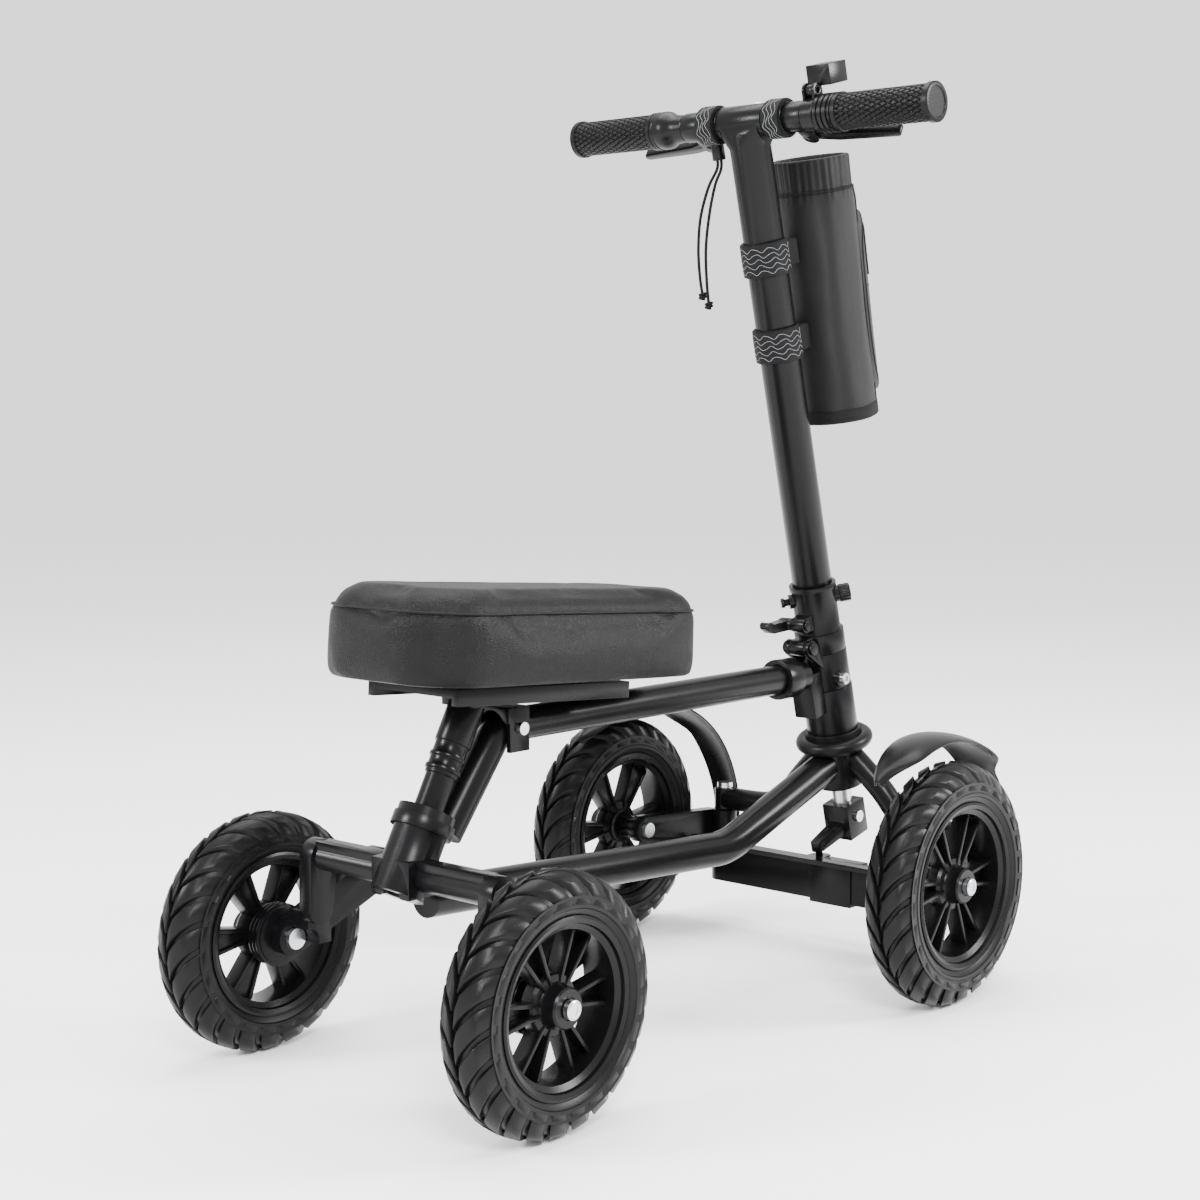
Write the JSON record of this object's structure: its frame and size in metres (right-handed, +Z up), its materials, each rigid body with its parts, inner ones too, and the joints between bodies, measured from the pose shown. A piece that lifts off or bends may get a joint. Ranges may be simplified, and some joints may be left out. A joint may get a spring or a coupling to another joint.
{
  "type": "knee scooter",
  "caption": "Steerable knee scooter with a padded knee rest on a tubular frame, folding adjustable column, fenders, brake levers and a bottle bag.",
  "frame": {"origin": "on the ground under the middle of the scooter's length, width and stance", "axes": "+X is the direction of travel, +Y the rider's left, +Z up"},
  "size_m": [0.836, 0.508, 0.9593],
  "materials": {
    "frame_black": "satin",
    "trim_black": "matt",
    "rubber": "matt",
    "tyre": "matt",
    "steel": "satin",
    "reflector": "gloss",
    "bag_fabric": "woven",
    "webbing": "woven",
    "leatherette": "grained"
  },
  "bodies": {
    "frame": {"main_tube": "frame_black", "head_lug": "frame_black", "head_tube": "frame_black", "headset_ring": "rubber", "front_stays": "frame_black", "front_beam": "frame_black", "rear_housing": "frame_black", "rear_arm_left": "frame_black", "rear_arm_right": "frame_black", "crossbar": "frame_black", "crossbar_clamps": "frame_black", "frame_bolts": "steel", "brake_drums": "frame_black", "rear_axles": "steel", "steerer_bearings": "steel"},
    "steering": {"steerer_tube": "steel", "steering_shaft": "steel", "pitman_bracket": "frame_black", "hinge_base": "frame_black", "fold_pin": "steel"},
    "steering_tie_bar": {"tie_bar": "frame_black"},
    "column": {"column_tube": "frame_black", "column_spring_pin": "frame_black", "lever_pin": "frame_black"},
    "quick_release": {"quick_release_lever": "trim_black"},
    "locking_knob": {"column_knob": "trim_black"},
    "handlebar_stem": {"stem": "frame_black", "handlebar": "frame_black", "bar_fittings": "trim_black", "grips": "rubber", "reflector": "reflector", "light_bracket": "frame_black", "lever_perches": "trim_black", "bag": "bag_fabric", "bag_straps": "webbing", "bag_cord_lock": "trim_black", "bag_cord": "webbing"},
    "light": {"front_light": "trim_black"},
    "left_brake_lever": {"brake_lever_left": "frame_black"},
    "right_brake_lever": {"brake_lever_right": "frame_black"},
    "seat": {"seat_post": "frame_black", "seat_plate": "frame_black", "seat_cushion": "leatherette"},
    "left_knuckle": {"knuckle_left": "frame_black", "fender_left": "trim_black", "front_axle_left": "steel"},
    "right_knuckle": {"knuckle_right": "frame_black", "fender_right": "trim_black", "front_axle_right": "steel"},
    "rear_left_wheel": {"rear_left_rim": "trim_black", "rear_left_tyre": "tyre"},
    "rear_right_wheel": {"rear_right_rim": "trim_black", "rear_right_tyre": "tyre"},
    "front_left_wheel": {"front_left_rim": "trim_black", "front_left_tyre": "tyre"},
    "front_right_wheel": {"front_right_rim": "trim_black", "front_right_tyre": "tyre"}
  },
  "joints": [
    {"name": "steering_turn", "type": "hinge", "parent": "frame", "child": "steering", "pos_m": [0.372, 0, 0.235], "axis": [-0.2453, 0, 0.9694], "range_deg": [-25, 25]},
    {"name": "tie_bar_swing", "type": "hinge", "parent": "steering", "child": "steering_tie_bar", "pos_m": [0.34667, 0, 0.10275], "axis": [-0.2453, 0, 0.9694], "range_deg": [-25, 25]},
    {"name": "left_knuckle_turn", "type": "hinge", "parent": "frame", "child": "left_knuckle", "pos_m": [0.384, 0.165, 0.11], "axis": [0, 0, 1], "range_deg": [-25, 25]},
    {"name": "right_knuckle_turn", "type": "hinge", "parent": "frame", "child": "right_knuckle", "pos_m": [0.384, -0.165, 0.11], "axis": [0, 0, 1], "range_deg": [-25, 25]},
    {"name": "column_fold", "type": "hinge", "parent": "steering", "child": "column", "pos_m": [0.30572, 0, 0.34407], "axis": [0, -1, 0], "range_deg": [0, 36]},
    {"name": "quick_release_turn", "type": "hinge", "parent": "column", "child": "quick_release", "pos_m": [0.30395, 0.018, 0.36941], "axis": [0, 1, 0], "range_deg": [0, 60]},
    {"name": "knob_turn", "type": "hinge", "parent": "column", "child": "locking_knob", "pos_m": [0.35135, -0.02121, 0.40307], "axis": [0.6855, -0.7071, 0.1735], "range_deg": [0, 180]},
    {"name": "stem_height", "type": "slide", "parent": "column", "child": "handlebar_stem", "axis": [-0.2453, 0, 0.9694], "range_m": [0, 0.045]},
    {"name": "left_brake_squeeze", "type": "hinge", "parent": "handlebar_stem", "child": "left_brake_lever", "pos_m": [0.22819, 0.066, 0.89076], "axis": [0.4352, 0, 0.9003], "range_deg": [0, 8], "stiffness_Nm_per_rad": 2, "springref_deg": -2.86},
    {"name": "right_brake_squeeze", "type": "hinge", "parent": "handlebar_stem", "child": "right_brake_lever", "pos_m": [0.22819, -0.066, 0.89076], "axis": [-0.4352, 0, -0.9003], "range_deg": [0, 8], "stiffness_Nm_per_rad": 2, "springref_deg": -2.86},
    {"name": "light_tilt", "type": "hinge", "parent": "handlebar_stem", "child": "light", "pos_m": [0.1971, -0.0865, 0.92621], "axis": [0, 1, 0], "range_deg": [-10, 10]},
    {"name": "seat_height", "type": "slide", "parent": "frame", "child": "seat", "axis": [0.4833, 0, 0.8755], "range_m": [0, 0.06]},
    {"name": "rear_left_spin", "type": "hinge", "parent": "frame", "child": "rear_left_wheel", "pos_m": [-0.304, 0.185, 0.114], "axis": [0, 1, 0], "continuous": true},
    {"name": "rear_right_spin", "type": "hinge", "parent": "frame", "child": "rear_right_wheel", "pos_m": [-0.304, -0.185, 0.114], "axis": [0, 1, 0], "continuous": true},
    {"name": "front_left_spin", "type": "hinge", "parent": "left_knuckle", "child": "front_left_wheel", "pos_m": [0.253, 0.224, 0.125], "axis": [0, 1, 0], "continuous": true},
    {"name": "front_right_spin", "type": "hinge", "parent": "right_knuckle", "child": "front_right_wheel", "pos_m": [0.253, -0.224, 0.125], "axis": [0, 1, 0], "continuous": true}
  ],
  "couplings": [
    {"joint": "tie_bar_swing", "follows": "steering_turn", "ratio": -1},
    {"joint": "left_knuckle_turn", "follows": "steering_turn", "ratio": 1},
    {"joint": "right_knuckle_turn", "follows": "steering_turn", "ratio": 1}
  ]
}
